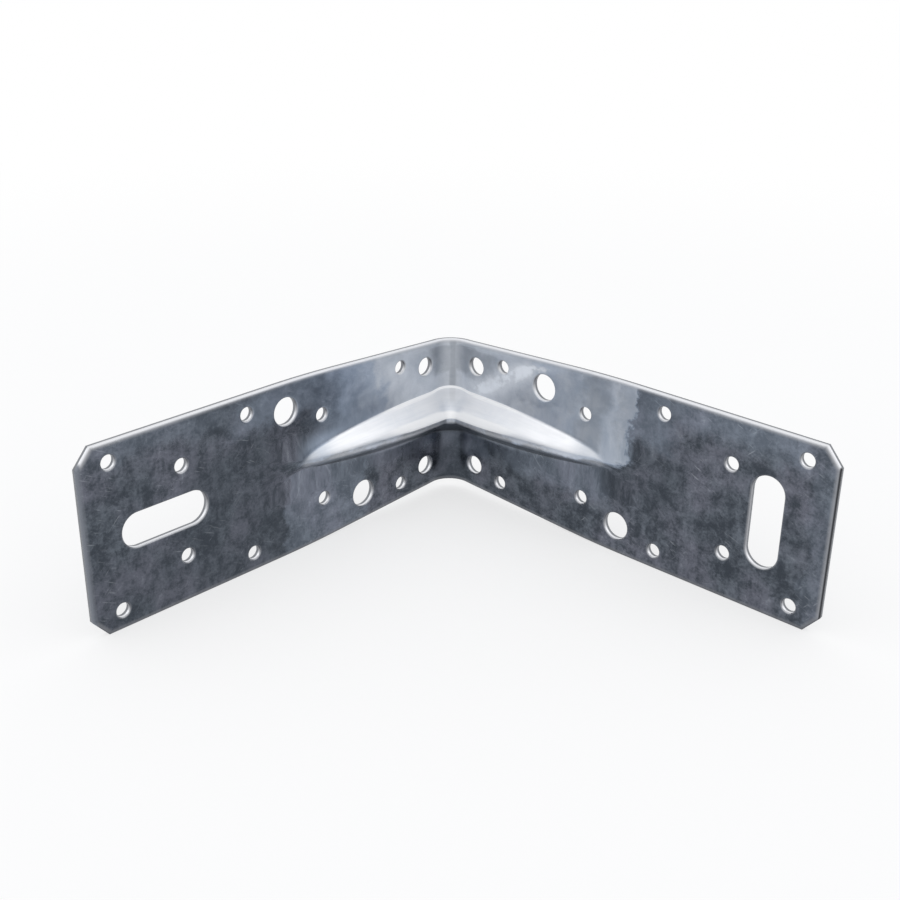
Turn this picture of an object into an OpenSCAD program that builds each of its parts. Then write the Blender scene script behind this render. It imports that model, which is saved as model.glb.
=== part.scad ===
// Corner brace bracket: one flat steel strip folded to 90 degrees, with a stiffening
// rib pressed across the fold, and punched nail holes, bolt holes and a slot in each leg.
// The origin is the outer corner at the lower edge. Leg A runs along +X, leg B along +Y,
// and the fold is parallel to Z. The rib stands proud inside the corner, and the hollow
// that was pressed for it is open on the outer faces.

/* [Strip] */
// Length of each leg, outer corner to free end
leg_l = 164; // [160:1:240]
// Width of the strip at the free ends
leg_w = 65; // [62:1:90]
// Thickness of the sheet
sheet_t = 2.5; // [2:0.25:3.5]
// Inside radius of the fold
bend_r = 8; // [6:0.5:8]
// Length of the cut at each free corner, along the leg
cut_x = 5.4; // [2:0.1:8]
// Height of the cut at each free corner, across the leg
cut_z = 6.3; // [2:0.1:8]

/* [Drawn-in edges] */
// How far the pressing pulled each long edge in at the fold
edge_draw = 3.5; // [0.5:0.1:4]
// Distance from the outer corner where the edges are straight and full width again
draw_end = 88; // [75:1:110]
// Distance from the outer corner where the slope towards the fold becomes constant
draw_mid = 60; // [40:1:70]

/* [Rib] */
// Height of the crest over the inner faces, next to the fold
rib_h = 8.25; // [7:0.25:9]
// Radius of the crest of each arm seen from above: a larger one reaches further
rib_bow_r = 249; // [235:1:280]
// Radius of the crest where it turns the corner
rib_turn_r = 5; // [4:0.5:8]
// Radius over the crest in the section of the rib
rib_crest_r = 5; // [4.5:0.25:7]
// Angle between a flank of the rib and the direction it was pressed in
rib_flank = 34; // [20:1:38]
// How far the rib was pressed above the middle line of the strip
rib_up = 0.5; // [-1:0.1:1]

/* [Nail holes] */
// Diameter of a nail hole
nail_d = 5; // [4:0.1:6]
// Distance of the end pair from the free end
nail_end_in = 11; // [9:0.5:19]
// Distance of the edge rows from the long edges
nail_edge_in = 6.7; // [5.5:0.1:8.5]
// Distance of the outer pair, on the inner rows, from the free end
nail_outer_in = 37; // [34:0.5:45]
// Distance of the inner rows from the middle line
nail_row_z = 16.2; // [15:0.2:18]
// Distance of the pair beside the rib tip from the outer corner
nail_tip_x = 67.5; // [62:0.5:72]
// Distance of the pair beside the fold from the outer corner
nail_fold_x = 29; // [27:0.5:34]
// Distance of the pair beside the fold from the long edges at full width
nail_fold_in = 9.1; // [8.5:0.1:12]

/* [Fold holes] */
// Diameter of the holes next to the fold
fold_hole_d = 7; // [6:0.1:7.5]
// Distance of the holes next to the fold from the outer corner
fold_hole_x = 15.8; // [14.6:0.1:18]
// Distance of the holes next to the fold from the long edges at full width
fold_hole_in = 12.3; // [11.5:0.1:13.5]

/* [Bolt holes] */
// Diameter of a bolt hole
bolt_d = 10; // [8:0.1:11]
// Distance of the inner bolt hole from the outer corner
bolt_near_x = 48.5; // [44:0.5:54]
// Distance of the inner bolt hole from the nearer long edge
bolt_near_in = 11.7; // [10.5:0.1:12.5]
// Step along the leg from the nail holes beside the rib tip to the outer bolt hole
bolt_step = 16; // [13:0.5:19]
// Distance of the outer bolt hole from the nearer long edge
bolt_far_in = 10.5; // [9.5:0.1:12.5]
// Step along the leg from the outer bolt hole to the next pair on the edge rows
nail_step = 16.5; // [14:0.5:22]

/* [Slots] */
// Width of a slot
slot_w = 12; // [8:0.5:13]
// Length of a slot over its round ends
slot_l = 32.8; // [24:0.2:38]
// Distance of the middle of the slot along leg A from the free end
slot_a_in = 29.8; // [26:0.1:34]
// Distance of the middle of the slot across leg B from the free end
slot_b_in = 23; // [18:0.1:28]

/* [Hidden] */
$fn = 96;
// Reach of a cutter past the faces it goes through
over = 1;
// Middle line of the strip
mid_z = leg_w / 2;
// Plan centre of the fold in X and in Y
bend_c = bend_r + sheet_t;
// Distance of each hole row from the middle line
nail_edge_z = mid_z - nail_edge_in;
nail_fold_z = mid_z - nail_fold_in;
fold_hole_z = mid_z - fold_hole_in;
bolt_near_z = mid_z - bolt_near_in;
bolt_far_z = mid_z - bolt_far_in;
// Distance of the outer bolt hole, and of the edge pair after it, from the outer corner
bolt_far_x = nail_tip_x + bolt_step;
nail_edge_x = bolt_far_x + nail_step;
// Middle plane of the sheet, where the rib is joined to it
core = sheet_t / 2;
// Constant slope of the drawn-in edges next to the fold
draw_slope = edge_draw / ((draw_mid + draw_end) / 2 - bend_c);
// Number of straight pieces in the curve from that slope to the full width
draw_steps = 6;
// Reach of the rib section past the outer faces, which clears the outside of the fold
rib_reach = 6;
// Depth of the rib section behind its crest
rib_depth = rib_h + sheet_t + rib_reach;
// The crest turns about this point on the diagonal, and runs on along each leg from there
turn_xy = sheet_t + rib_h + rib_turn_r;
// Plan centre of the bowed crest of leg A is this far in -Y from the turn centre
bow_back = rib_bow_r + rib_turn_r;
// Sweep of an arm past the tip, where its crest meets the inner face, in degrees
tip_over = 1;
// Sweep of each arm of the rib about its plan centre
sweep_a = acos((rib_bow_r - rib_h) / rib_bow_r) + tip_over;

// How far the edge lies inside the full width at distance x from the outer corner
function edge_in(x) =
    x >= draw_end ? 0 :
    x >= draw_mid ? draw_slope * (draw_end - x) * (draw_end - x) / (draw_end - draw_mid) / 2 :
    draw_slope * ((draw_mid + draw_end) / 2 - x);

// Points of the lower edge from the fold to where it is straight
function drawn_edge() = concat(
    [[bend_c, edge_in(bend_c)]],
    [for (i = [0:draw_steps])
        let (x = draw_mid + (draw_end - draw_mid) * i / draw_steps)
        [x, edge_in(x)]]
);

// Points of the upper edge, from the free end back to the fold
function upside_down(points) = [
    for (i = [len(points) - 1:-1:0])
        [points[i].x, leg_w - points[i].y]
];

// Repeats a shape of leg A on leg B
module on_leg_b() {
    mirror([1, -1, 0])
        children();
}

// Stands a plan drawn in X and Z up against the outer face of leg A
module stand_up(thick) {
    translate([0, thick, 0])
        rotate([90, 0, 0])
            linear_extrude(thick)
                children();
}

module leg_outline() {
    free_end = [
        [leg_l - cut_x, 0],
        [leg_l, cut_z],
        [leg_l, leg_w - cut_z],
        [leg_l - cut_x, leg_w]
    ];
    polygon(concat(drawn_edge(), free_end, upside_down(drawn_edge())));
}

module leg_blank() {
    stand_up(sheet_t)
        leg_outline();
}

module fold() {
    translate([bend_c, bend_c, edge_draw])
        rotate_extrude(angle = 90, start = 180)
            translate([bend_r, 0])
                square([sheet_t, leg_w - 2 * edge_draw]);
}

// Section of the rib with its crest at the origin, pointing to +X, set in by a distance
module rib_section(inset) {
    r = rib_crest_r - inset;
    touch_x = r * sin(rib_flank) - rib_crest_r;
    touch_y = r * cos(rib_flank);
    root_y = touch_y + (rib_depth + touch_x) * tan(rib_flank);
    translate([-rib_crest_r, 0])
        circle(r);
    polygon([
        [touch_x, -touch_y],
        [touch_x, touch_y],
        [-rib_depth, root_y],
        [-rib_depth, -root_y]
    ]);
}

module rib_arm(inset) {
    translate([turn_xy, turn_xy - bow_back, mid_z + rib_up])
        rotate_extrude(angle = sweep_a, start = 90 - sweep_a)
            translate([rib_bow_r, 0])
                rib_section(inset);
}

module rib_turn(inset) {
    translate([turn_xy, turn_xy, mid_z + rib_up])
        rotate_extrude(angle = 90, start = 180)
            translate([rib_turn_r, 0])
                mirror([1, 0])
                    rib_section(inset);
}

module rib_form(inset) {
    rib_arm(inset);
    on_leg_b()
        rib_arm(inset);
    rib_turn(inset);
}

// Everything inside the middle plane of the folded sheet
module inside_core() {
    linear_extrude(leg_w) {
        translate([core, bend_c])
            square(leg_l);
        translate([bend_c, core])
            square(leg_l);
        translate([bend_c, bend_c])
            circle(bend_r + core);
    }
}

module rib_wall() {
    intersection() {
        rib_form(0);
        inside_core();
    }
}

// A punched hole at distance x from the outer corner, z from the middle line
module punch(x, z, d) {
    translate([x, -over, mid_z + z])
        rotate([-90, 0, 0])
            cylinder(h = sheet_t + 2 * over, d = d);
}

module punch_pair(x, z, d) {
    punch(x, z, d);
    punch(x, -z, d);
}

module shared_holes() {
    punch_pair(leg_l - nail_end_in, nail_edge_z, nail_d);
    punch_pair(leg_l - nail_outer_in, nail_row_z, nail_d);
    punch_pair(nail_edge_x, nail_edge_z, nail_d);
    punch_pair(nail_tip_x, nail_row_z, nail_d);
    punch_pair(nail_fold_x, nail_fold_z, nail_d);
    punch_pair(fold_hole_x, fold_hole_z, fold_hole_d);
}

// The two bolt holes lie across the rib from each other, one on each side
module bolt_holes(side) {
    punch(bolt_far_x, side * bolt_far_z, bolt_d);
    punch(bolt_near_x, -side * bolt_near_z, bolt_d);
}

// A slot cutter of length run along the leg and rise across it
module slot(x, run, rise) {
    step_x = (run - slot_w) / 2;
    step_z = (rise - slot_w) / 2;
    translate([0, -over, 0])
        stand_up(sheet_t + 2 * over)
            translate([x, mid_z]) {
                translate([-step_x, -step_z])
                    circle(d = slot_w);
                translate([step_x, step_z])
                    circle(d = slot_w);
                square([max(2 * step_x, slot_w), max(2 * step_z, slot_w)], center = true);
            }
}

module leg_a_openings() {
    shared_holes();
    bolt_holes(1);
    slot(leg_l - slot_a_in, slot_l, slot_w);
}

module leg_b_openings() {
    shared_holes();
    bolt_holes(-1);
    slot(leg_l - slot_b_in, slot_w, slot_l);
}

module angle_bracket() {
    color("LightSlateGray")
        difference() {
            union() {
                leg_blank();
                on_leg_b()
                    leg_blank();
                fold();
                rib_wall();
            }
            rib_form(sheet_t);
            leg_a_openings();
            on_leg_b()
                leg_b_openings();
        }
}

angle_bracket();
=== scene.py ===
"""Corner brace bracket of galvanised sheet steel, on a pale floor in soft studio light.

The bracket is made the way the real one is: a flat strip is punched and sheared, a stiffening
rib is pressed across its middle, and the strip is folded to a right angle. Sizes are in
millimetres until the finished mesh is turned to metres.
"""

import logging
import math
from collections.abc import Callable
from dataclasses import dataclass
from enum import Enum
from functools import reduce

import bmesh
import bpy
import numpy as np
from mathutils import Matrix, Vector


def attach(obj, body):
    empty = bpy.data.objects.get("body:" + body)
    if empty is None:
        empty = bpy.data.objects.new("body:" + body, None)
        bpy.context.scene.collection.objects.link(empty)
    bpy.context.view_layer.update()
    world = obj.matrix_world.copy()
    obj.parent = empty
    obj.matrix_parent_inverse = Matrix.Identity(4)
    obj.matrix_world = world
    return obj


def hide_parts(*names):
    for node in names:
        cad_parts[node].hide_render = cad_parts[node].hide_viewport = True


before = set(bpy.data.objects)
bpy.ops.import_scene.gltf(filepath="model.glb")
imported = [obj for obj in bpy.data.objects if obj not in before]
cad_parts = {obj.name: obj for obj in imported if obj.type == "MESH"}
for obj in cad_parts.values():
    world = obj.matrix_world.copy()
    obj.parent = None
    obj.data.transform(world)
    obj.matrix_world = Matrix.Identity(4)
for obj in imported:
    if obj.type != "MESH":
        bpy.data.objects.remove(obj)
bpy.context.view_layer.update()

LOG = logging.getLogger("bracket")
MM = 0.001
# A distance in millimetres that is further than anything on the bracket
FAR_OFF = 1e3

Socket = bpy.types.NodeSocket
# What an input of a node takes: a socket, a number, or a colour or vector
Feed = Socket | float | tuple[float, ...]
Colour = tuple[float, float, float, float]
# Plan position of a point, and its position with the direction in which it moves
Mitres = dict[tuple[float, float], tuple[Vector, Vector]]


class Leg(Enum):
    """The two legs, by the sign of the strip coordinate on each."""

    A = 1
    B = -1


@dataclass(frozen=True)
class Hole:
    """A punched round hole or round-ended slot, placed on one leg.

    Args:
        leg: The leg that the hole is in.
        x: Distance from the outer corner to its middle.
        v: Distance from the middle line of the strip, upwards.
        run: Size along the leg.
        rise: Size across the leg.
    """

    leg: Leg
    x: float
    v: float
    run: float
    rise: float

    @property
    def radius(self) -> float:
        """Radius of the round ends."""
        return min(self.run, self.rise) / 2

    def window(self, margin: float) -> tuple[float, float, float, float]:
        """The rectangle around the hole that is cleared before it is drawn.

        Args:
            margin: Distance from the hole's rim to the rectangle.

        Returns:
            Lowest and highest distance from the corner, then lowest and highest v.
        """
        half_x, half_v = self.run / 2 + margin, self.rise / 2 + margin
        return self.x - half_x, self.x + half_x, self.v - half_v, self.v + half_v


@dataclass(frozen=True)
class Strip:
    """Sizes of the flat strip and of its fold.

    Args:
        leg: Length of each leg, from the outer corner to the free end.
        width: Width of the strip at the free ends.
        thick: Thickness of the sheet.
        bend_r: Inside radius of the fold.
        cut_x: Length of the cut at each free corner, along the leg.
        cut_z: Height of that cut.
        edge_draw: How far the pressing pulled each long edge in at the fold.
        draw_end: Distance from the corner from which the strip has its full width.
        draw_mid: Distance from the corner up to which the edges have a constant slope.
        draw_inner: Distance from the middle line up to which nothing is pulled in.
        draw_outer: Distance from the middle line from which all is pulled in with the edge.
    """

    leg: float = 164.0
    width: float = 65.0
    thick: float = 2.5
    bend_r: float = 8.0
    cut_x: float = 5.4
    cut_z: float = 6.3
    edge_draw: float = 3.5
    draw_end: float = 88.0
    draw_mid: float = 60.0
    draw_inner: float = 26.2
    draw_outer: float = 30.8

    @property
    def mid(self) -> float:
        """Height of the middle line."""
        return self.width / 2

    @property
    def bend_c(self) -> float:
        """Plan centre of the fold, in X and in Y."""
        return self.bend_r + self.thick

    @property
    def half_fold(self) -> float:
        """Half of the fold's length along the inner face."""
        return self.bend_r * math.pi / 4

    def along(self, x: float) -> float:
        """Strip coordinate of a point at distance x from the outer corner."""
        return self.half_fold + x - self.bend_c


@dataclass(frozen=True)
class HolePattern:
    """Every hole of the bracket, with the same distances as the solid model.

    A field that ends in x is the distance of holes from the outer corner, and one that ends
    in v is their distance from the middle line.

    Args:
        nail_d: Diameter of a nail hole.
        end_x: The pair at the free end.
        edge_x: The other pair on the edge rows.
        edge_v: The edge rows.
        outer_x: The outer pair on the inner rows.
        tip_x: The pair beside the tip of the rib.
        row_v: The inner rows.
        fold_x: The pair of nail holes beside the fold.
        fold_v: The rows of that pair.
        corner_d: Diameter of the larger holes next to the fold.
        corner_x: The pair of those holes.
        corner_v: Their rows.
        bolt_d: Diameter of a bolt hole.
        far_x: The outer bolt hole.
        far_v: Its row.
        near_x: The inner bolt hole.
        near_v: Its row.
        slot_w: Width of a slot.
        slot_l: Length of a slot over its round ends.
        slot_a_x: The slot that runs along leg A.
        slot_b_x: The slot that runs across leg B.
    """

    nail_d: float = 5.0
    end_x: float = 153.0
    edge_x: float = 100.0
    edge_v: float = 25.8
    outer_x: float = 127.0
    tip_x: float = 67.5
    row_v: float = 16.2
    fold_x: float = 29.0
    fold_v: float = 23.4
    corner_d: float = 7.0
    corner_x: float = 15.8
    corner_v: float = 20.2
    bolt_d: float = 10.0
    far_x: float = 83.5
    far_v: float = 22.0
    near_x: float = 48.5
    near_v: float = 20.8
    slot_w: float = 12.0
    slot_l: float = 32.8
    slot_a_x: float = 134.2
    slot_b_x: float = 141.0

    def holes(self, leg: Leg) -> list[Hole]:
        """All the holes of one leg.

        Args:
            leg: The leg to list.

        Returns:
            The nail holes, the holes next to the fold, the bolt holes and the slot.
        """
        pairs = [
            (self.end_x, self.edge_v, self.nail_d),
            (self.edge_x, self.edge_v, self.nail_d),
            (self.outer_x, self.row_v, self.nail_d),
            (self.tip_x, self.row_v, self.nail_d),
            (self.fold_x, self.fold_v, self.nail_d),
            (self.corner_x, self.corner_v, self.corner_d),
        ]
        found = [Hole(leg, x, side * v, d, d) for x, v, d in pairs for side in (1, -1)]
        found.append(Hole(leg, self.far_x, leg.value * self.far_v, self.bolt_d, self.bolt_d))
        found.append(Hole(leg, self.near_x, -leg.value * self.near_v, self.bolt_d, self.bolt_d))
        if leg is Leg.A:
            found.append(Hole(leg, self.slot_a_x, 0, self.slot_l, self.slot_w))
        else:
            found.append(Hole(leg, self.slot_b_x, 0, self.slot_w, self.slot_l))
        return found


@dataclass(frozen=True)
class ShearedEdge:
    """Section of a punched or sheared edge, from the inner face down to the outer face.

    Each step is the distance back into the steel, the depth, and how much of the surface there
    is burnished by the punch and how much is torn. The punch came from the inner side, so that
    rim is drawn in softly, and the tear opens a little towards the outer side.

    Args:
        roll: Width of the rim that is drawn in.
        drop: Depth to which the rim is drawn in.
        shine: How far the punch burnished the drawn-in part.
        tear_at: Depth at which the steel tore.
        thick: Thickness of the sheet.
        turns: Angles in radians at which the drawn-in part has a step.
        creases: Steps at which the surface turns sharply.
    """

    roll: float
    drop: float
    shine: float = 1.0
    tear_at: float = 1.25
    thick: float = 2.5
    turns: tuple[float, ...] = (0.28, 0.56, 0.86, 1.16, 1.40)
    creases: tuple[int, ...] = (7, 10)

    @property
    def steps(self) -> list[tuple[float, float, float, float]]:
        """Every step of the section, in order.

        Returns:
            Distance back, depth, and how far each step is burnished and torn.
        """
        soft = [(1 - math.sin(t), 1 - math.cos(t), t) for t in self.turns]
        rolled = [(self.roll * i, self.drop * d, min(1.0, t) * self.shine, 0.0) for i, d, t in soft]
        cut = [
            (0.0, self.drop * 1.1, 1.0, 0.0),
            (0.0, self.tear_at, 1.0, 0.0),
            (0.05, self.tear_at + 0.1, 0.2, 1.0),
            (0.10, self.thick - 0.16, 0.0, 1.0),
            (0.20, self.thick, 0.0, 0.4),
            (self.roll, self.thick, 0.0, 0.0),
        ]
        return rolled + cut


@dataclass
class PunchedBlank:
    """The flat strip with its holes, as a closed bmesh in strip coordinates.

    X runs along the strip from the middle of the fold, Y across it from the middle line, and
    Z is the height over the inner face.

    Args:
        strip: Sizes of the strip.
        pattern: The holes.
        edge: Section of the sheared outline.
        punched: Section of the rim of every hole.
        margin: Width of the cleared band round each hole.
        off_fold: Least distance of a cleared band from the end of the fold.
        slack: Slack in every test of where a point lies.
        fold_columns: Mesh columns in each half of the fold.
        fine_end: Distance from the corner up to which the columns are fine.
        fine_step: Spacing of the columns up to there.
        coarse_step: Spacing of the columns beyond.
        die_end: Distance from the corner of one more column, past the rub marks.
        rib_rows: Distance from the middle line within which rows slide with the rib.
        rib_row_step: Spacing of the rows over the rib.
        rib_row_count: Number of those rows above the middle line.
        flank_rows: Closer rows, short of the root of the rib.
        root_row: Row that goes to the root of the rib.
        past_root: Distances from it to the rows beyond.
        row_gap: Least distance of those rows from the rim of a slot.
        row_step: Spacing of all other rows.
        small_hole: Radius below which a rim has fewer corners.
        rim_corners: Corners of a small rim, and of a larger one.
        slot_cuts: Cuts in each straight side of a slot's rim.
        end_band: Distance from the free end within which free edges are the outline's.
        on_cut: Distance from the plane of a cut within which points lie on it.
        merge: Distance within which two points become one.
    """

    strip: Strip
    pattern: HolePattern
    edge: ShearedEdge
    punched: ShearedEdge
    margin: float = 1.75
    off_fold: float = 0.05
    slack: float = 0.01
    fold_columns: int = 12
    fine_end: float = 84.0
    fine_step: float = 1.0
    coarse_step: float = 3.0
    die_end: float = 104.0
    rib_rows: float = 11.0
    rib_row_step: float = 0.35
    rib_row_count: int = 21
    flank_rows: tuple[float, ...] = (7.4, 7.8, 8.1, 8.35)
    root_row: float = 8.6
    past_root: tuple[float, ...] = (0, 0.25, 0.5, 0.8, 1.15, 1.55, 2.0)
    row_gap: float = 0.2
    row_step: float = 2.2
    small_hole: float = 3.0
    rim_corners: tuple[int, int] = (40, 64)
    slot_cuts: int = 9
    end_band: float = 7.5
    on_cut: float = 1e-5
    merge: float = 0.002

    def __post_init__(self) -> None:
        """Lists the holes, and opens an empty mesh with its layers."""
        self.holes = [hole for leg in Leg for hole in self.pattern.holes(leg)]
        self.bm = bmesh.new()
        self.burnished = self.bm.verts.layers.float.new("burnished")
        self.torn = self.bm.verts.layers.float.new("torn")
        self.step = self.bm.verts.layers.int.new("step")

    def build(self) -> bmesh.types.BMesh:
        """Makes the blank.

        Returns:
            A closed bmesh of the punched strip, still flat.
        """
        self._plate()
        self._cut_corners()
        for hole in self.holes:
            self._open_window(hole)
        self._shear()
        return self.bm

    def _leg_lines(self, leg: Leg) -> list[float]:
        """Distances from the corner at which the mesh of one leg has a line.

        Args:
            leg: The leg.

        Returns:
            Sorted distances, from the fold to the rolled rim of the free end.
        """
        fixed = {self.strip.bend_c, self.strip.leg - self.edge.roll, self.fine_end, self.die_end}
        for hole in self.holes:
            if hole.leg is leg:
                low, high, _, _ = hole.window(self.margin)
                fixed.update((max(low, self.strip.bend_c + self.off_fold), high))
        return self._filled(
            sorted(fixed), lambda x: self.fine_step if x < self.fine_end else self.coarse_step
        )

    def _row_lines(self) -> list[float]:
        """Rows of the mesh, which are closest at the root of the rib.

        Returns:
            Sorted distances from the middle line.
        """
        near = [self.rib_row_step * i for i in range(self.rib_row_count)] + list(self.flank_rows)
        near += [self.root_row + d for d in self.past_root]
        far = {self.rib_rows, self.strip.draw_inner, self.strip.draw_outer,
               self.strip.mid - self.edge.roll}
        for hole in self.holes:
            _, _, low, high = hole.window(self.margin)
            far.update(abs(v) for v in (low, high) if abs(v) > self.rib_rows)
        slot_row = min(h.rise for h in self.holes if h.run > h.rise) / 2 + self.margin
        near = sorted({v for v in near if abs(v - slot_row) > self.row_gap} | {slot_row})
        half = near + self._filled(sorted(far), lambda v: self.row_step)
        return sorted({-v for v in half} | set(half))

    @staticmethod
    def _filled(fixed: list[float], spacing: Callable[[float], float]) -> list[float]:
        """Adds evenly spaced lines between fixed ones.

        Args:
            fixed: Sorted positions that must be lines.
            spacing: Function that gives the widest spacing at a position.

        Returns:
            All positions, sorted, with near doubles left out.
        """
        near_double = 0.02
        lines = [fixed[0]]
        for low, high in zip(fixed, fixed[1:]):
            if high - low < near_double:
                continue
            count = max(1, math.ceil((high - low) / spacing((low + high) / 2)))
            lines += [low + (high - low) * i / count for i in range(1, count + 1)]
        return lines

    def _plate(self) -> None:
        """Lays the inner face as a grid, short of its edges by the width of the rolled rim."""
        half, count = self.strip.half_fold, self.fold_columns
        columns = [half * i / count for i in range(1 - count, count)]
        columns += [self.strip.along(x) for x in self._leg_lines(Leg.A)]
        columns += [-self.strip.along(x) for x in self._leg_lines(Leg.B)]
        columns.sort()
        rows = self._row_lines()
        steps_x, steps_y, half_unit = len(columns) - 1, len(rows) - 1, 0.5
        bmesh.ops.create_grid(self.bm, x_segments=steps_x, y_segments=steps_y, size=half_unit)
        for vert in self.bm.verts:
            i = round((vert.co.x + half_unit) * steps_x)
            j = round((vert.co.y + half_unit) * steps_y)
            vert.co = Vector((columns[i], rows[j], 0))

    def _cut_corners(self) -> None:
        """Cuts the four free corners, parallel to the finished cut."""
        strip = self.strip
        slant = Vector((strip.cut_z, strip.cut_x, 0)).normalized()
        corner = Vector((strip.along(strip.leg - strip.cut_x), strip.mid, 0))
        corner -= slant * self.edge.roll
        for sx in (1, -1):
            for sy in (1, -1):
                turn = Vector((sx, sy, 1))
                bmesh.ops.bisect_plane(
                    self.bm,
                    geom=self.bm.verts[:] + self.bm.edges[:] + self.bm.faces[:],
                    plane_co=corner * turn,
                    plane_no=slant * turn,
                    dist=self.on_cut,
                    clear_outer=True,
                )

    def _open_window(self, hole: Hole) -> None:
        """Clears the grid round one hole and joins it to the rolled rim of the hole.

        Args:
            hole: The hole to make.
        """
        low, high, bottom, top = hole.window(self.margin)
        low = max(low, self.strip.bend_c + self.off_fold)
        ends = sorted(hole.leg.value * self.strip.along(x) for x in (low, high))

        def inside(point: Vector) -> bool:
            """Whether a point lies in the rectangle or on its edge."""
            in_x = ends[0] - self.slack < point.x < ends[1] + self.slack
            return in_x and bottom - self.slack < point.y < top + self.slack

        cleared = [f for f in self.bm.faces if all(inside(v.co) for v in f.verts)]
        bmesh.ops.delete(self.bm, geom=cleared, context="FACES")
        frame_edges = [
            e for e in self.bm.edges if e.is_boundary and all(inside(v.co) for v in e.verts)
        ]
        rim_edges = self._rim(hole)
        bmesh.ops.triangle_fill(
            self.bm, use_beauty=True, edges=frame_edges + rim_edges, normal=Vector((0, 0, 1))
        )

    def _rim(self, hole: Hole) -> list[bmesh.types.BMEdge]:
        """Draws the outer line of a hole's rolled rim.

        Args:
            hole: The hole.

        Returns:
            The edges of the closed line.
        """
        few, many = self.rim_corners
        segments = few if hole.radius < self.small_hole else many
        centre = Vector((hole.leg.value * self.strip.along(hole.x), hole.v, 0))
        made = bmesh.ops.create_circle(
            self.bm,
            segments=segments,
            radius=hole.radius + self.punched.roll,
            matrix=Matrix.Rotation(math.pi / segments, 4, "Z"),
        )
        stretch = Vector((hole.run / 2 - hole.radius, hole.rise / 2 - hole.radius, 0))
        for vert in made["verts"]:
            side = Vector((math.copysign(1, vert.co.x), math.copysign(1, vert.co.y), 0))
            vert.co += stretch * side + centre
        long_edge = hole.radius / 2
        straight = [e for e in self.bm.edges if e.is_wire and e.calc_length() > long_edge]
        if straight:
            bmesh.ops.subdivide_edges(self.bm, edges=straight, cuts=self.slot_cuts)
        return [e for e in self.bm.edges if e.is_wire]

    def _shear(self) -> None:
        """Rolls every free edge down through the sheet and closes it with the outer face."""
        free = [e for e in self.bm.edges if e.is_boundary]
        end = self.strip.along(self.strip.leg) - self.end_band
        side = self.strip.mid - self.edge.roll - self.slack
        outline, rims = [], []
        for edge in free:
            middle = (edge.verts[0].co + edge.verts[1].co) / 2
            on_outline = abs(middle.x) > end or abs(middle.y) > side
            (outline if on_outline else rims).append(edge)
        copy = bmesh.ops.duplicate(
            self.bm, geom=self.bm.verts[:] + self.bm.edges[:] + self.bm.faces[:]
        )
        back_verts = [g for g in copy["geom"] if isinstance(g, bmesh.types.BMVert)]
        back_faces = [g for g in copy["geom"] if isinstance(g, bmesh.types.BMFace)]
        bmesh.ops.translate(self.bm, verts=back_verts, vec=Vector((0, 0, -self.strip.thick)))
        bmesh.ops.reverse_faces(self.bm, faces=back_faces)
        self._draw_section(outline, self.edge)
        self._draw_section(rims, self.punched)
        bmesh.ops.remove_doubles(self.bm, verts=self.bm.verts[:], dist=self.merge)

    def _draw_section(self, edges: list[bmesh.types.BMEdge], section: ShearedEdge) -> None:
        """Extrudes free edges step by step along the section of a cut.

        Args:
            edges: Closed lines of free edges.
            section: The section to follow.
        """
        mitres = self._mitres(edges)
        for number, (inset, depth, burnished, torn) in enumerate(section.steps):
            made = bmesh.ops.extrude_edge_only(self.bm, edges=edges)["geom"]
            verts = [g for g in made if isinstance(g, bmesh.types.BMVert)]
            edges = [g for g in made if isinstance(g, bmesh.types.BMEdge) and g.is_boundary]
            moved: Mitres = {}
            for vert in verts:
                base, mitre = mitres[self._plan(vert)]
                place = base + mitre * (section.roll - inset)
                vert.co = Vector((place.x, place.y, -depth))
                vert[self.burnished] = burnished
                vert[self.torn] = torn
                vert[self.step] = number + 1
                moved[self._plan(vert)] = (base, mitre)
            mitres = moved

    @staticmethod
    def _plan(vert: bmesh.types.BMVert) -> tuple[float, float]:
        """Plan position of a point, rounded so that it can be looked up."""
        return round(vert.co.x, 4), round(vert.co.y, 4)

    def _mitres(self, edges: list[bmesh.types.BMEdge]) -> Mitres:
        """Directions that move each point of free edges out by one unit, square to them.

        Args:
            edges: Closed lines of free edges.

        Returns:
            Plan position of each point, and its position with the direction.
        """
        outward: dict[bmesh.types.BMVert, list[Vector]] = {}
        for edge in edges:
            face = edge.link_faces[0]
            line = edge.verts[1].co - edge.verts[0].co
            normal = Vector((line.y, -line.x, 0)).normalized()
            middle = (edge.verts[0].co + edge.verts[1].co) / 2
            if normal.dot(face.calc_center_median() - middle) > 0:
                normal = -normal
            for vert in edge.verts:
                outward.setdefault(vert, []).append(normal)
        mitres: Mitres = {}
        for vert, (first, second) in outward.items():
            mitre = (first + second) / (1 + first.dot(second))
            mitres[self._plan(vert)] = (vert.co.copy(), mitre)
        return mitres


@dataclass(frozen=True)
class Rib:
    """Sizes of the pressed rib.

    Its section leans: the upper flank swells into a long shoulder, which turns over a tight
    crest into the straight lower flank. Angles of the section are those of its surface normal
    over the direction that the rib was pressed in.

    Args:
        height: Height of the crest over the inner faces, next to the fold.
        bow_r: Radius of the crest of each arm, seen from above.
        turn_r: Radius of the crest where it turns the corner.
        shoulder_r: Radius of the shoulder in the section.
        crest_r: Radius over the crest in the section.
        crest_low: How far the centre of that radius lies below the rib's middle line.
        flank_up: Angle at which the shoulder ends in the upper flank.
        crest_up: Angle at which the crest goes over into the shoulder.
        flank_down: Angle at which the crest ends in the lower flank.
        up: How far the rib was pressed above the middle line of the strip.
        root_blend: Distance over which its root is blended into the sheet.
    """

    height: float = 8.25
    bow_r: float = 255.0
    turn_r: float = 3.0
    shoulder_r: float = 6.8
    crest_r: float = 3.4
    crest_low: float = 0.1
    flank_up: float = math.radians(56)
    crest_up: float = math.radians(16)
    flank_down: float = math.radians(54)
    up: float = 0.5
    root_blend: float = 0.9


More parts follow.
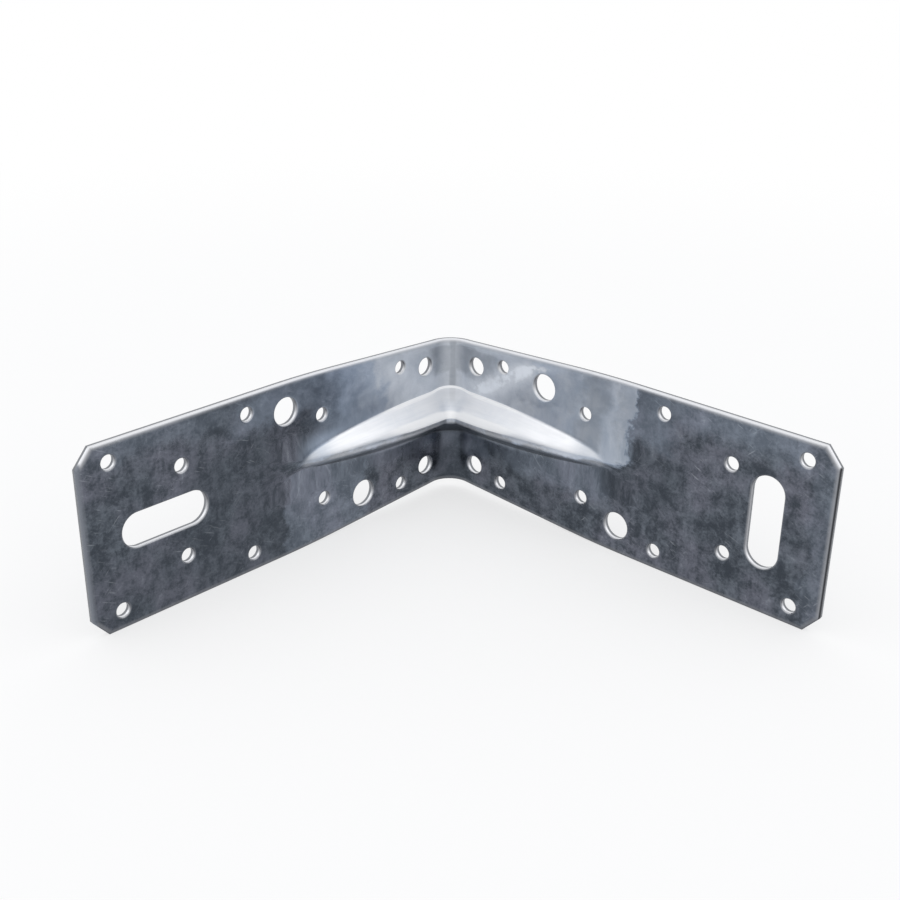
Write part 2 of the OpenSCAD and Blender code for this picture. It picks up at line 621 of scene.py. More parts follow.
@dataclass
class PressTool:
    """Presses the rib into the flat strip and folds it.

    Every point of the blank keeps its height over the inner face. The inner face itself is
    found where a line from the folded sheet leaves the steel of the sheet and rib together.

    Args:
        strip: Sizes of the strip.
        rib: Sizes of the rib.
        halo: Distance from the rib within which a point counts as near it.
        lean: Angle at the fold between those lines and the sheet's own direction.
        lean_reach: Distance from the fold over which the angle goes to nothing.
        tip_fade: Distance past the tip of the rib over which the rows slide back.
        least_root: Least distance of the root from the middle line.
        furthest_root: Greatest distance of the root from the middle line.
        longest: Length within which each line has left the steel.
        halvings: Number of times that each search halves its range.
        probe: Distance over which the slope of the surface is measured.
    """

    strip: Strip
    rib: Rib
    halo: float = 9.0
    lean: float = math.radians(30)
    lean_reach: float = 45.0
    tip_fade: float = 22.0
    least_root: float = 2.0
    furthest_root: float = 14.0
    longest: float = 17.0
    halvings: int = 40
    probe: float = 0.02

    @property
    def turn(self) -> float:
        """Plan centre of the crest's turn at the fold, in X and in Y."""
        return self.strip.thick + self.rib.height + self.rib.turn_r

    @property
    def bow(self) -> float:
        """Plan centre of an arm's bowed crest, square to the arm's leg."""
        return self.turn - self.rib.bow_r - self.rib.turn_r

    @property
    def tip(self) -> float:
        """Distance of the tip of an arm from the outer corner."""
        rib = self.rib
        return self.turn + math.sqrt(rib.bow_r**2 - (rib.bow_r - rib.height) ** 2)

    def _section_gap(self, rise: np.ndarray, side: np.ndarray) -> np.ndarray:
        """Distance to the rib's section, negative in its steel.

        Args:
            rise: Distance beyond the crest.
            side: Distance above the rib's middle line.

        Returns:
            Signed distances.
        """
        rib = self.rib
        crest_a, crest_b = -rib.crest_r, -rib.crest_low
        back = rib.shoulder_r - rib.crest_r
        shoulder_a = crest_a - back * math.cos(rib.crest_up)
        shoulder_b = crest_b - back * math.sin(rib.crest_up)
        to_crest = rise - crest_a, side - crest_b
        to_shoulder = rise - shoulder_a, side - shoulder_b
        upper = to_shoulder[0] * math.cos(rib.flank_up) + to_shoulder[1] * math.sin(rib.flank_up)
        lower = to_crest[0] * math.cos(rib.flank_down) - to_crest[1] * math.sin(rib.flank_down)
        flanks = np.maximum(upper - rib.shoulder_r, lower - rib.crest_r)
        shoulder_turn = np.arctan2(to_shoulder[1], to_shoulder[0])
        crest_turn = np.arctan2(to_crest[1], to_crest[0])
        on_shoulder = (shoulder_turn > rib.crest_up) & (shoulder_turn <= rib.flank_up)
        on_crest = (crest_turn >= -rib.flank_down) & (shoulder_turn <= rib.crest_up)
        gap = np.where(on_shoulder, np.hypot(*to_shoulder) - rib.shoulder_r, flanks)
        return np.where(on_crest, np.hypot(*to_crest) - rib.crest_r, gap)

    def _rib_gap(self, x: np.ndarray, y: np.ndarray, v: np.ndarray) -> np.ndarray:
        """Distance from the rib alone, on the inner side, negative in its steel.

        Args:
            x: Distances from the outer face of leg B.
            y: Distances from the outer face of leg A.
            v: Distances from the middle line.

        Returns:
            Signed distances.
        """
        side = v - self.rib.up
        arm_a = self._section_gap(np.hypot(x - self.turn, y - self.bow) - self.rib.bow_r, side)
        arm_b = self._section_gap(np.hypot(x - self.bow, y - self.turn) - self.rib.bow_r, side)
        rise = self.rib.turn_r - np.hypot(x - self.turn, y - self.turn)
        at_turn = (x < self.turn) & (y < self.turn)
        turned = np.where(at_turn, self._section_gap(rise, side), FAR_OFF)
        return np.minimum(np.minimum(arm_a, arm_b), turned)

    def _gap(self, x: np.ndarray, y: np.ndarray, v: np.ndarray) -> np.ndarray:
        """Distance from the steel of the folded sheet with its rib, on the inner side.

        Args:
            x: Distances from the outer face of leg B.
            y: Distances from the outer face of leg A.
            v: Distances from the middle line.

        Returns:
            Signed distances, blended at the root of the rib.
        """
        c = self.strip.bend_c
        in_fold = (x < c) & (y < c)
        sheet = np.where(
            in_fold, self.strip.bend_r - np.hypot(x - c, y - c), np.minimum(x, y) - self.strip.thick
        )
        pressed = self._rib_gap(x, y, v)
        blend = self.rib.root_blend
        near = np.maximum(blend - np.abs(sheet - pressed), 0) / blend
        return np.minimum(sheet, pressed) - near * near * blend / 4

    def _root(self, x: np.ndarray, upwards: int) -> np.ndarray:
        """Where the rib meets the inner face, above or below its middle line.

        Args:
            x: Distances from the outer corner.
            upwards: 1 for the upper root, -1 for the lower one.

        Returns:
            Distances from the rib's middle line.
        """
        rib = self.rib
        reach = np.clip(x - self.turn, 0, None)
        crest = np.sqrt(np.maximum(rib.bow_r**2 - reach**2, 0)) - (rib.bow_r - rib.height)
        low, high = np.zeros_like(x), np.full_like(x, self.furthest_root)
        for _ in range(self.halvings):
            middle = (low + high) / 2
            inside = self._section_gap(-np.clip(crest, 0, None), middle * upwards) < 0
            low, high = np.where(inside, middle, low), np.where(inside, high, middle)
        return low

    def _rows_to_root(self, u: np.ndarray, v: np.ndarray, outer: float, root: float) -> np.ndarray:
        """Slides the rows of the mesh so that one of them runs along the rib's root.

        Args:
            u: Strip coordinates.
            v: Distances from the middle line on the flat grid.
            outer: Row from which nothing slides.
            root: Row that goes to the root.

        Returns:
            New distances from the middle line.
        """
        x = np.abs(u) - self.strip.half_fold + self.strip.bend_c
        over = np.where(v >= 0, self._root(x, 1) + self.rib.up, self._root(x, -1) - self.rib.up)
        width = np.maximum(over, self.least_root)
        fade = np.clip((x - self.tip) / self.tip_fade, 0, 1)
        width = width * (1 - fade) + root * fade
        side = np.abs(v)
        inner = side / root * width
        beyond = width + (side - root) / (outer - root) * (outer - width)
        moved = np.where(side <= root, inner, beyond)
        return np.where(side < outer, np.sign(v) * moved, v)

    def _draw_edges(self, u: np.ndarray, v: np.ndarray) -> np.ndarray:
        """Pulls the long edges in near the fold, as pressing the rib does.

        Args:
            u: Strip coordinates.
            v: Distances from the middle line.

        Returns:
            New distances from the middle line.
        """
        s = self.strip
        x = np.maximum(np.abs(u) - s.half_fold + s.bend_c, s.bend_c)
        slope = s.edge_draw / ((s.draw_mid + s.draw_end) / 2 - s.bend_c)
        curved = slope * (s.draw_end - x) ** 2 / (s.draw_end - s.draw_mid) / 2
        straight = slope * ((s.draw_mid + s.draw_end) / 2 - x)
        drawn = np.where(x >= s.draw_end, 0, np.where(x >= s.draw_mid, curved, straight))
        share = np.clip((np.abs(v) - s.draw_inner) / (s.draw_outer - s.draw_inner), 0, 1)
        return v - np.sign(v) * drawn * share

    def form(
        self, flat: np.ndarray, outer: float, root: float
    ) -> tuple[np.ndarray, np.ndarray, np.ndarray]:
        """Presses and folds points of the blank.

        Args:
            flat: Points in strip coordinates, one a row.
            outer: Row of the flat grid from which nothing slides.
            root: Row of the flat grid that goes to the root of the rib.

        Returns:
            The points in the bracket's own frame, still in millimetres, how far each was
            pressed out of the folded sheet, and how near each is to the rib, from 0 to 1.
        """
        strip = self.strip
        u, height = flat[:, 0], flat[:, 2]
        v = self._draw_edges(u, self._rows_to_root(u, flat[:, 1], outer, root))
        side = np.abs(u)
        x = side - strip.half_fold + strip.bend_c
        bend = np.clip(side / strip.half_fold, 0, 1) * math.pi / 4
        facing = math.pi / 4 + bend
        base_x = np.where(x > strip.bend_c, x, strip.bend_c - strip.bend_r * np.cos(facing))
        base_y = np.where(
            x > strip.bend_c, strip.thick, strip.bend_c - strip.bend_r * np.sin(facing)
        )
        lean = self.lean * np.clip(1 - (x - strip.bend_c) / self.lean_reach, 0, 1) ** 2
        in_fold = math.pi / 4 + bend * (1 - self.lean / (math.pi / 4))
        aim = np.where(x > strip.bend_c, math.pi / 2 - lean, in_fold)
        ray_x, ray_y = np.cos(aim), np.sin(aim)
        low, high = np.zeros_like(u), np.full_like(u, self.longest)
        for _ in range(self.halvings):
            middle = (low + high) / 2
            steel = self._gap(base_x + middle * ray_x, base_y + middle * ray_y, v) < 0
            low, high = np.where(steel, middle, low), np.where(steel, high, middle)
        px, py = base_x + low * ray_x, base_y + low * ray_y
        step = self.probe
        slope = [
            self._gap(px + dx, py + dy, v + dv) - self._gap(px - dx, py - dy, v - dv)
            for dx, dy, dv in ((step, 0, 0), (0, step, 0), (0, 0, step))
        ]
        normal = np.stack(slope, axis=1)
        normal /= np.linalg.norm(normal, axis=1, keepdims=True)
        formed = np.stack((px, py, v + strip.mid), axis=1) + normal * height[:, None]
        on_b = u < 0
        formed[on_b, 0], formed[on_b, 1] = formed[on_b, 1].copy(), formed[on_b, 0].copy()
        near = np.clip(1 - self._rib_gap(base_x, base_y, v) / self.halo, 0, 1)
        return formed, low, near


@dataclass(frozen=True)
class Ramp:
    """A clamped change of range with soft ends.

    Args:
        low: Value at which the change starts.
        high: Value at which it ends.
        at_low: Result up to the start.
        at_high: Result from the end on.
    """

    low: float
    high: float
    at_low: float = 0.0
    at_high: float = 1.0


@dataclass(frozen=True)
class Noise:
    """Settings of a noise pattern on the strip.

    Args:
        scale: Number of its cells in a metre.
        detail: Number of finer layers.
        rough: Strength of each finer layer, as a share of the one before.
        warp: How far the pattern is bent.
        turn: Angle in radians by which it is turned in the plane of the strip.
        stretch: Factor of each coordinate: a small one draws the pattern out.
    """

    scale: float
    detail: float = 4.0
    rough: float = 0.55
    warp: float = 0.0
    turn: float = 0.0
    stretch: tuple[float, float, float] | None = None


class Wiring:
    """A short way to add and join the nodes of one material or world."""

    def __init__(self, tree: bpy.types.NodeTree) -> None:
        """Starts from an empty tree.

        Args:
            tree: The node tree to fill.
        """
        self.tree = tree
        tree.nodes.clear()

    def add(
        self, kind: str, settings: dict[str, str] | None = None, **inputs: Feed
    ) -> bpy.types.Node:
        """Adds a node.

        Args:
            kind: The node's type name.
            settings: Its own properties.
            inputs: Values or sockets for its inputs, with spaces in names as underscores.

        Returns:
            The new node.
        """
        node = self.tree.nodes.new(kind)
        for name, value in (settings or {}).items():
            setattr(node, name, value)
        for name, value in inputs.items():
            self.feed(node, name.replace("_", " "), value)
        return node

    def feed(self, node: bpy.types.Node, name: str | int, value: Feed) -> None:
        """Sets an input to a value, or joins a socket to it.

        Args:
            node: The node.
            name: Name or number of its input.
            value: The value or the socket.
        """
        socket = node.inputs[name]
        if isinstance(value, bpy.types.NodeSocket):
            self.tree.links.new(value, socket)
        else:
            socket.default_value = value

    def maths(self, operation: str, *terms: Feed) -> Socket:
        """Adds a Math node.

        Args:
            operation: What it does.
            terms: Values or sockets to work on.

        Returns:
            A socket with the result.
        """
        node = self.add("ShaderNodeMath", {"operation": operation})
        for i, term in enumerate(terms):
            self.feed(node, i, term)
        return node.outputs[0]

    def product(self, *terms: Feed) -> Socket:
        """All the terms multiplied."""
        return reduce(lambda first, second: self.maths("MULTIPLY", first, second), terms)

    def largest(self, *terms: Feed) -> Socket:
        """The largest of the terms."""
        return reduce(lambda first, second: self.maths("MAXIMUM", first, second), terms)

    def ramp(self, value: Feed, over: Ramp) -> Socket:
        """Changes the range of a value.

        Args:
            value: The value.
            over: The ranges.

        Returns:
            A socket with the new value.
        """
        node = self.add("ShaderNodeMapRange", {"interpolation_type": "SMOOTHSTEP"})
        for i, term in enumerate((value, over.low, over.high, over.at_low, over.at_high)):
            self.feed(node, i, term)
        return node.outputs[0]

    def mix(self, share: Feed, first: Feed, second: Feed) -> Socket:
        """Mixes two colours.

        Args:
            share: How much there is of the second colour.
            first: The first colour.
            second: The second colour.

        Returns:
            A socket with the mixed colour.
        """
        node = self.add("ShaderNodeMix", {"data_type": "RGBA"})
        for i, term in ((0, share), (6, first), (7, second)):
            self.feed(node, i, term)
        return node.outputs[2]

    def mix_shaders(self, share: Feed, first: Socket, second: Socket) -> Socket:
        """Mixes two shaders.

        Args:
            share: How much there is of the second shader.
            first: The first shader.
            second: The second shader.

        Returns:
            A socket with the mixed shader.
        """
        node = self.add("ShaderNodeMixShader")
        for i, term in enumerate((share, first, second)):
            self.feed(node, i, term)
        return node.outputs[0]

    def attribute(self, name: str, output: str = "Fac") -> Socket:
        """Reads an attribute that the bracket has on its vertices."""
        return self.add("ShaderNodeAttribute", {"attribute_name": name}).outputs[output]

    def noise(self, place: Socket, pattern: Noise, coloured: bool = False) -> Socket:
        """Draws a noise pattern.

        Args:
            place: Coordinates on the strip.
            pattern: Settings of the pattern.
            coloured: Whether to give three separate patterns, as a colour.

        Returns:
            A socket with the pattern.
        """
        if pattern.stretch:
            turned = self.add("ShaderNodeMapping", {"vector_type": "TEXTURE"}, Vector=place)
            self.feed(turned, "Rotation", (0.0, 0.0, pattern.turn))
            self.feed(turned, "Scale", tuple(1 / factor for factor in pattern.stretch))
            place = turned.outputs[0]
        node = self.add("ShaderNodeTexNoise", Vector=place, Scale=pattern.scale,
                        Detail=pattern.detail, Roughness=pattern.rough, Distortion=pattern.warp)
        return node.outputs["Color" if coloured else 0]

    def seen(self) -> Socket:
        """Wires whether a ray is one that the camera sees, itself or in metal or glass.

        Returns:
            A socket that is 1 for such a ray and 0 for all others.
        """
        path = self.add("ShaderNodeLightPath").outputs
        rays = ("Is Camera Ray", "Is Glossy Ray", "Is Transmission Ray")
        return self.largest(*(path[name] for name in rays))

    def finish(self, kind: str, shader: Socket) -> None:
        """Ends the tree with an output node of the given kind."""
        self.feed(self.add(kind), "Surface", shader)


@dataclass(frozen=True)
class StripPoint:
    """Sockets that say where on the strip a point of its surface is.

    Args:
        place: Coordinates on the strip, in metres.
        clean: Distance from the middle of the fold, positive on leg A, and from the middle line.
        ragged: The same two, with noise added.
        depth: Height over the inner face.
        from_fold: Distance from the middle of the fold, without its sign.
        drawn: Height in millimetres to which the rib was pressed here.
        near_rib: How near the rib is, from 0 to 1.
        facing_up: Upward part of the direction that the surface faces.
        burnished: How far the punch burnished a cut edge.
        torn: How far a cut edge is torn.
    """

    place: Socket
    clean: tuple[Socket, Socket]
    ragged: tuple[Socket, Socket]
    depth: Socket
    from_fold: Socket
    drawn: Socket
    near_rib: Socket
    facing_up: Socket
    burnished: Socket
    torn: Socket


@dataclass(frozen=True)
class StripPatch:
    """A patch of the strip with soft borders, for wear and stained patches, and for painted light.

    Args:
        leg: The leg that it is on.
        x: Lowest and highest distance from the middle of the fold, in millimetres.
        v: Lowest and highest distance from the middle line.
        soft_x: Width of its borders along the strip.
        soft_v: Width of its borders across the strip.
        strength: How strongly it shows.
        slant: How far its borders lean along the strip, for each millimetre upwards.
        ragged: Whether its borders are ragged.
    """

    leg: Leg
    x: tuple[float, float]
    v: tuple[float, float]
    soft_x: float
    soft_v: float
    strength: float
    slant: float = 0.0
    ragged: bool = True

    def mask(self, w: Wiring, at: StripPoint) -> Socket:
        """Wires where the patch is.

        Args:
            w: The material's wiring.
            at: The point of the strip.

        Returns:
            A socket with the strength of the patch at the point.
        """
        along, across = at.ragged if self.ragged else at.clean
        y = w.product(across, 1 / MM)
        x = w.maths("MULTIPLY_ADD", y, -self.slant, w.product(along, self.leg.value / MM))
        half_x, half_v = self.soft_x / 2, self.soft_v / 2
        return w.product(
            w.ramp(x, Ramp(self.x[0] - half_x, self.x[0] + half_x)),
            w.ramp(x, Ramp(self.x[1] - half_x, self.x[1] + half_x, 1.0, 0.0)),
            w.ramp(y, Ramp(self.v[0] - half_v, self.v[0] + half_v)),
            w.ramp(y, Ramp(self.v[1] - half_v, self.v[1] + half_v, 1.0, 0.0)),
            self.strength,
        )


@dataclass(frozen=True)
class Zinc:
    """The bare coat: a mottled spangle with faint scratches.

    Every pattern adds its weight to the shade, which runs from the dark colour over the middle
    one to pale glints.
    """

    dark: Colour = (0.050, 0.059, 0.073, 1)
    mid: Colour = (0.140, 0.160, 0.189, 1)
    lilac: Colour = (0.151, 0.159, 0.195, 1)
    pale: Colour = (0.34, 0.37, 0.41, 1)
    scratched: Colour = (0.75, 0.79, 0.85, 1)
    stirred: Noise = Noise(320.0, 3.0, 0.5)
    flake_bend: float = 0.003
    flake_scale: float = 360.0
    mottle: Noise = Noise(160.0, 8.0, 0.68, 0.3)
    grain: Noise = Noise(1000.0, 3.0, 0.65)
    cloud: Noise = Noise(42.0, 3.0, 0.5)
    streaks: Noise = Noise(300.0, 4.0, 0.6, stretch=(1.0, 0.16, 1.0))
    flake_weight: float = 0.10
    mottle_weight: float = 1.20
    grain_weight: float = 0.50
    cloud_weight: float = 0.56
    streak_weight: float = 0.45
    tone: Ramp = Ramp(0.26, 0.74)
    glints: Ramp = Ramp(0.66, 0.95, 0.0, 0.5)
    lilac_share: Ramp = Ramp(0.4, 0.62)
    scratches: tuple[tuple[Noise, Ramp], ...] = (
        (Noise(1500.0, 2.0, 0.5, turn=0.45, stretch=(0.10, 1.0, 1.0)), Ramp(0.62, 0.72)),
        (Noise(1300.0, 2.0, 0.5, turn=-0.8, stretch=(0.12, 1.0, 1.0)), Ramp(0.64, 0.74)),
    )
    scratched_areas: Noise = Noise(55.0, 2.0, 0.5)
    scratched_share: Ramp = Ramp(0.48, 0.64, 0.0, 0.20)

    def flakes(self, w: Wiring, at: StripPoint) -> Socket:
        """Wires the crystals of the spangle.

        Args:
            w: The material's wiring.
            at: The point of the strip.

        Returns:
            A socket with a value from 0 to 1 for each crystal.
        """
        bent = w.add("ShaderNodeVectorMath", {"operation": "MULTIPLY_ADD"})
        w.feed(bent, 0, w.noise(at.place, self.stirred, coloured=True))
        w.feed(bent, 1, (self.flake_bend,) * 3)
        w.feed(bent, 2, at.place)
        cells = w.add("ShaderNodeTexVoronoi", Vector=bent.outputs[0], Scale=self.flake_scale)
        return w.add("ShaderNodeSeparateColor", Color=cells.outputs["Color"]).outputs[0]

    def colour(
        self, w: Wiring, at: StripPoint, flake: Socket, mottle: Socket, grain: Socket
    ) -> Socket:
        """Wires the colour of the coat.

        Args:
            w: The material's wiring.
            at: The point of the strip.
            flake: Crystals of the spangle.
            mottle: Mottle of the coat.
            grain: Its finest grain.

        Returns:
            A socket with the colour.
        """
        cloud = w.noise(at.place, self.cloud)
        weights = (
            (flake, self.flake_weight),
            (mottle, self.mottle_weight),
            (grain, self.grain_weight),
            (w.noise(at.place, self.streaks), self.streak_weight),
            (cloud, self.cloud_weight),
        )
        shade: Feed = 0.5
        for pattern, weight in weights:
            shade = w.maths("MULTIPLY_ADD", w.maths("SUBTRACT", pattern, 0.5), weight, shade)
        tint = w.mix(w.ramp(cloud, self.lilac_share), self.mid, self.lilac)
        zinc = w.mix(w.ramp(shade, self.tone), self.dark, tint)
        zinc = w.mix(w.ramp(shade, self.glints), zinc, self.pale)
        lines = [w.ramp(w.noise(at.place, pattern), share) for pattern, share in self.scratches]
        areas = w.ramp(w.noise(at.place, self.scratched_areas), self.scratched_share)
        return w.mix(w.product(w.largest(*lines), areas), zinc, self.scratched)


@dataclass(frozen=True)
class RibPolishAndPaintedLight:
    """The polishing that the die gave to the rib, with painted light on it: a painted highlight on
    the upper flank and crest, and painted shade on the lower flank and near the fold.

    Ramps over the drawn height are in millimetres, and those over the distance from the fold
    in metres. The others are over the upward part of the direction that the surface faces.
    """

    # Painted highlight: the pale polished colour is laid on most where the flank faces up, and the
    # crest colour paints a white highlight.
    colour: Colour = (0.87, 0.88, 0.905, 1)
    crest_highlight_colour: Colour = (0.975, 0.98, 0.985, 1)
    low_drawn: Ramp = Ramp(0.004, 0.05)
    high_drawn: Ramp = Ramp(0.12, 0.60)
    root_facing: Ramp = Ramp(-0.15, 0.15)
    root_end: Ramp = Ramp(0.055, 0.066, 1.0, 0.0)
    arm_shift: Ramp = Ramp(0.020, 0.045, 0.0, 0.15)
    # Painted light by facing: the upper flank is lit and the lower flank is painted in shade.
    upper_flank: Ramp = Ramp(-0.12, 0.26, 0.0, 0.98)
    lower_flank: Ramp = Ramp(-0.65, -0.25, 0.0, 0.40)
    tip: Ramp = Ramp(0.057, 0.066, 1.0, 0.45)
    drag_lines: Noise = Noise(900.0, 3.0, 0.6, stretch=(0.05, 1.0, 1.0))
    drag_share: Ramp = Ramp(0.35, 0.62, 0.88, 1.0)
    # Painted shade: a darker band across the upper flank and a darker strip along the fold.
    grey_drawn: Ramp = Ramp(0.3, 1.3)
    grey_facing: Ramp = Ramp(0.50, 0.72)
    grey_start: Ramp = Ramp(0.013, 0.022)
    grey_end: Ramp = Ramp(0.030, 0.043, 0.15, 0.0)
    fold_grey: Ramp = Ramp(0.0035, 0.0095, 0.36, 0.0)
    fold_facing: Ramp = Ramp(0.35, 0.7, 0.1, 1.0)
    # Painted highlight along the crest and the upper edge of the rib, near the fold.
    crest_facing: Ramp = Ramp(0.48, 0.80, 1.0, 0.40)
    crest_end: Ramp = Ramp(0.020, 0.055, 1.0, 0.0)
    crest_share: Ramp = Ramp(0.42, 0.75)
    edge_start: Ramp = Ramp(0.08, 0.35)
    edge_end: Ramp = Ramp(0.8, 1.7, 0.7, 0.0)
    edge_fold: Ramp = Ramp(0.004, 0.012, 0.3, 1.0)

    def polish_and_painted_light(self, w: Wiring, at: StripPoint) -> Socket:
        """Wires how far the rib is polished, with painted light: lighter on the upper flank, and
        darker on the lower flank and in bands near the fold.

        Args:
            w: The material's wiring.
            at: The point of the strip.

        Returns:
            A socket from 0 to 1.
        """
        root = w.product(
            w.ramp(at.facing_up, self.root_facing), w.ramp(at.from_fold, self.root_end)
        )
        raised = w.product(
            w.ramp(at.drawn, self.low_drawn), w.largest(w.ramp(at.drawn, self.high_drawn), root)
        )
        facing = w.maths("SUBTRACT", at.facing_up, w.ramp(at.from_fold, self.arm_shift))
        # Painted light: lighter where the flank faces up, darker where it faces down.
        flank = w.largest(w.ramp(facing, self.upper_flank), w.ramp(facing, self.lower_flank))
        shaded_band = w.product(
            w.ramp(at.drawn, self.grey_drawn),
            w.ramp(at.facing_up, self.grey_facing),
            w.ramp(at.from_fold, self.grey_start),
            w.ramp(at.from_fold, self.grey_end),
        )
        shaded_fold = w.product(
            w.ramp(at.from_fold, self.fold_grey), w.ramp(at.facing_up, self.fold_facing)
        )
        return w.product(
            raised,
            flank,
            w.ramp(at.from_fold, self.tip),
            w.ramp(w.noise(at.place, self.drag_lines), self.drag_share),
            w.maths("SUBTRACT", 1.0, w.largest(shaded_band, shaded_fold)),
        )

    def crest_highlight(self, w: Wiring, at: StripPoint, polish_and_painted_light: Socket) -> Socket:
        """Wires a painted highlight along the crest and the upper edge of the rib, near the fold.

        Args:
            w: The material's wiring.
            at: The point of the strip.
            polish_and_painted_light: How far the rib is polished, with its painted light.

        Returns:
            A socket from 0 to 1.
        """
        root_highlight = w.product(
            w.ramp(at.drawn, self.edge_start),
            w.ramp(at.drawn, self.edge_end),
            w.ramp(at.from_fold, self.edge_fold),
        )
        highlight_band = w.largest(w.ramp(at.facing_up, self.crest_facing), root_highlight)
        return w.product(highlight_band, w.ramp(at.from_fold, self.crest_end), polish_and_painted_light)

    def over(self, w: Wiring, below: Socket, polish_and_painted_light: Socket, crest_highlight: Socket) -> Socket:
        """Wires the colour of the rib, with its painted light, over that of the coat.

        Args:
            w: The material's wiring.
            below: Colour of the coat.
            polish_and_painted_light: How far the rib is polished, with its painted light.
            crest_highlight: Strength of the painted highlight.

        Returns:
            A socket with the colour.
        """
        polished = w.mix(polish_and_painted_light, below, self.colour)
        return w.mix(w.ramp(crest_highlight, self.crest_share), polished, self.crest_highlight_colour)


@dataclass(frozen=True)
class CutEdge:
    """The bare steel of the sheared and punched edges, with painted light on it.

    Steel that faces up is painted lit and steel that faces down is painted in shade. The faces
    at the free ends are painted in shade, and on leg A so is their rim.
    """

    # Painted light: lit steel facing up, shaded steel facing down, painted shade on the end faces.
    above: Colour = (0.72, 0.73, 0.76, 1)
    below: Colour = (0.09, 0.095, 0.11, 1)
    torn: Colour = (0.25, 0.26, 0.28, 1)
    shaded_end_a: Colour = (0.19, 0.205, 0.235, 1)
    shaded_end_b: Colour = (0.035, 0.037, 0.042, 1)
    facing: Ramp = Ramp(-0.55, 0.75)
    end_face: Ramp = Ramp(0.1592, 0.1597)
    end_rim: Ramp = Ramp(0.1578, 0.1588)

    def over(self, w: Wiring, at: StripPoint, below: Socket) -> Socket:
        """Wires the colour of the cut edges, with their painted light, over that of the faces.

        Args:
            w: The material's wiring.
            at: The point of the strip.
            below: Colour of the faces.

        Returns:
            A socket with the colour.
        """
        on_a = w.maths("GREATER_THAN", at.clean[0], 0.0)
        rim = w.product(on_a, w.ramp(at.from_fold, self.end_rim))
        in_end_shade = w.maths("ADD", w.ramp(at.from_fold, self.end_face), rim)
        # Painted light by facing: lit where the cut faces up, in shade where it faces down.
        side = w.mix(w.ramp(at.facing_up, self.facing), self.below, self.above)
        end = w.mix(on_a, self.shaded_end_b, self.shaded_end_a)
        burnished = w.mix(at.burnished, below, w.mix(in_end_shade, side, end))
        return w.mix(at.torn, burnished, self.torn)


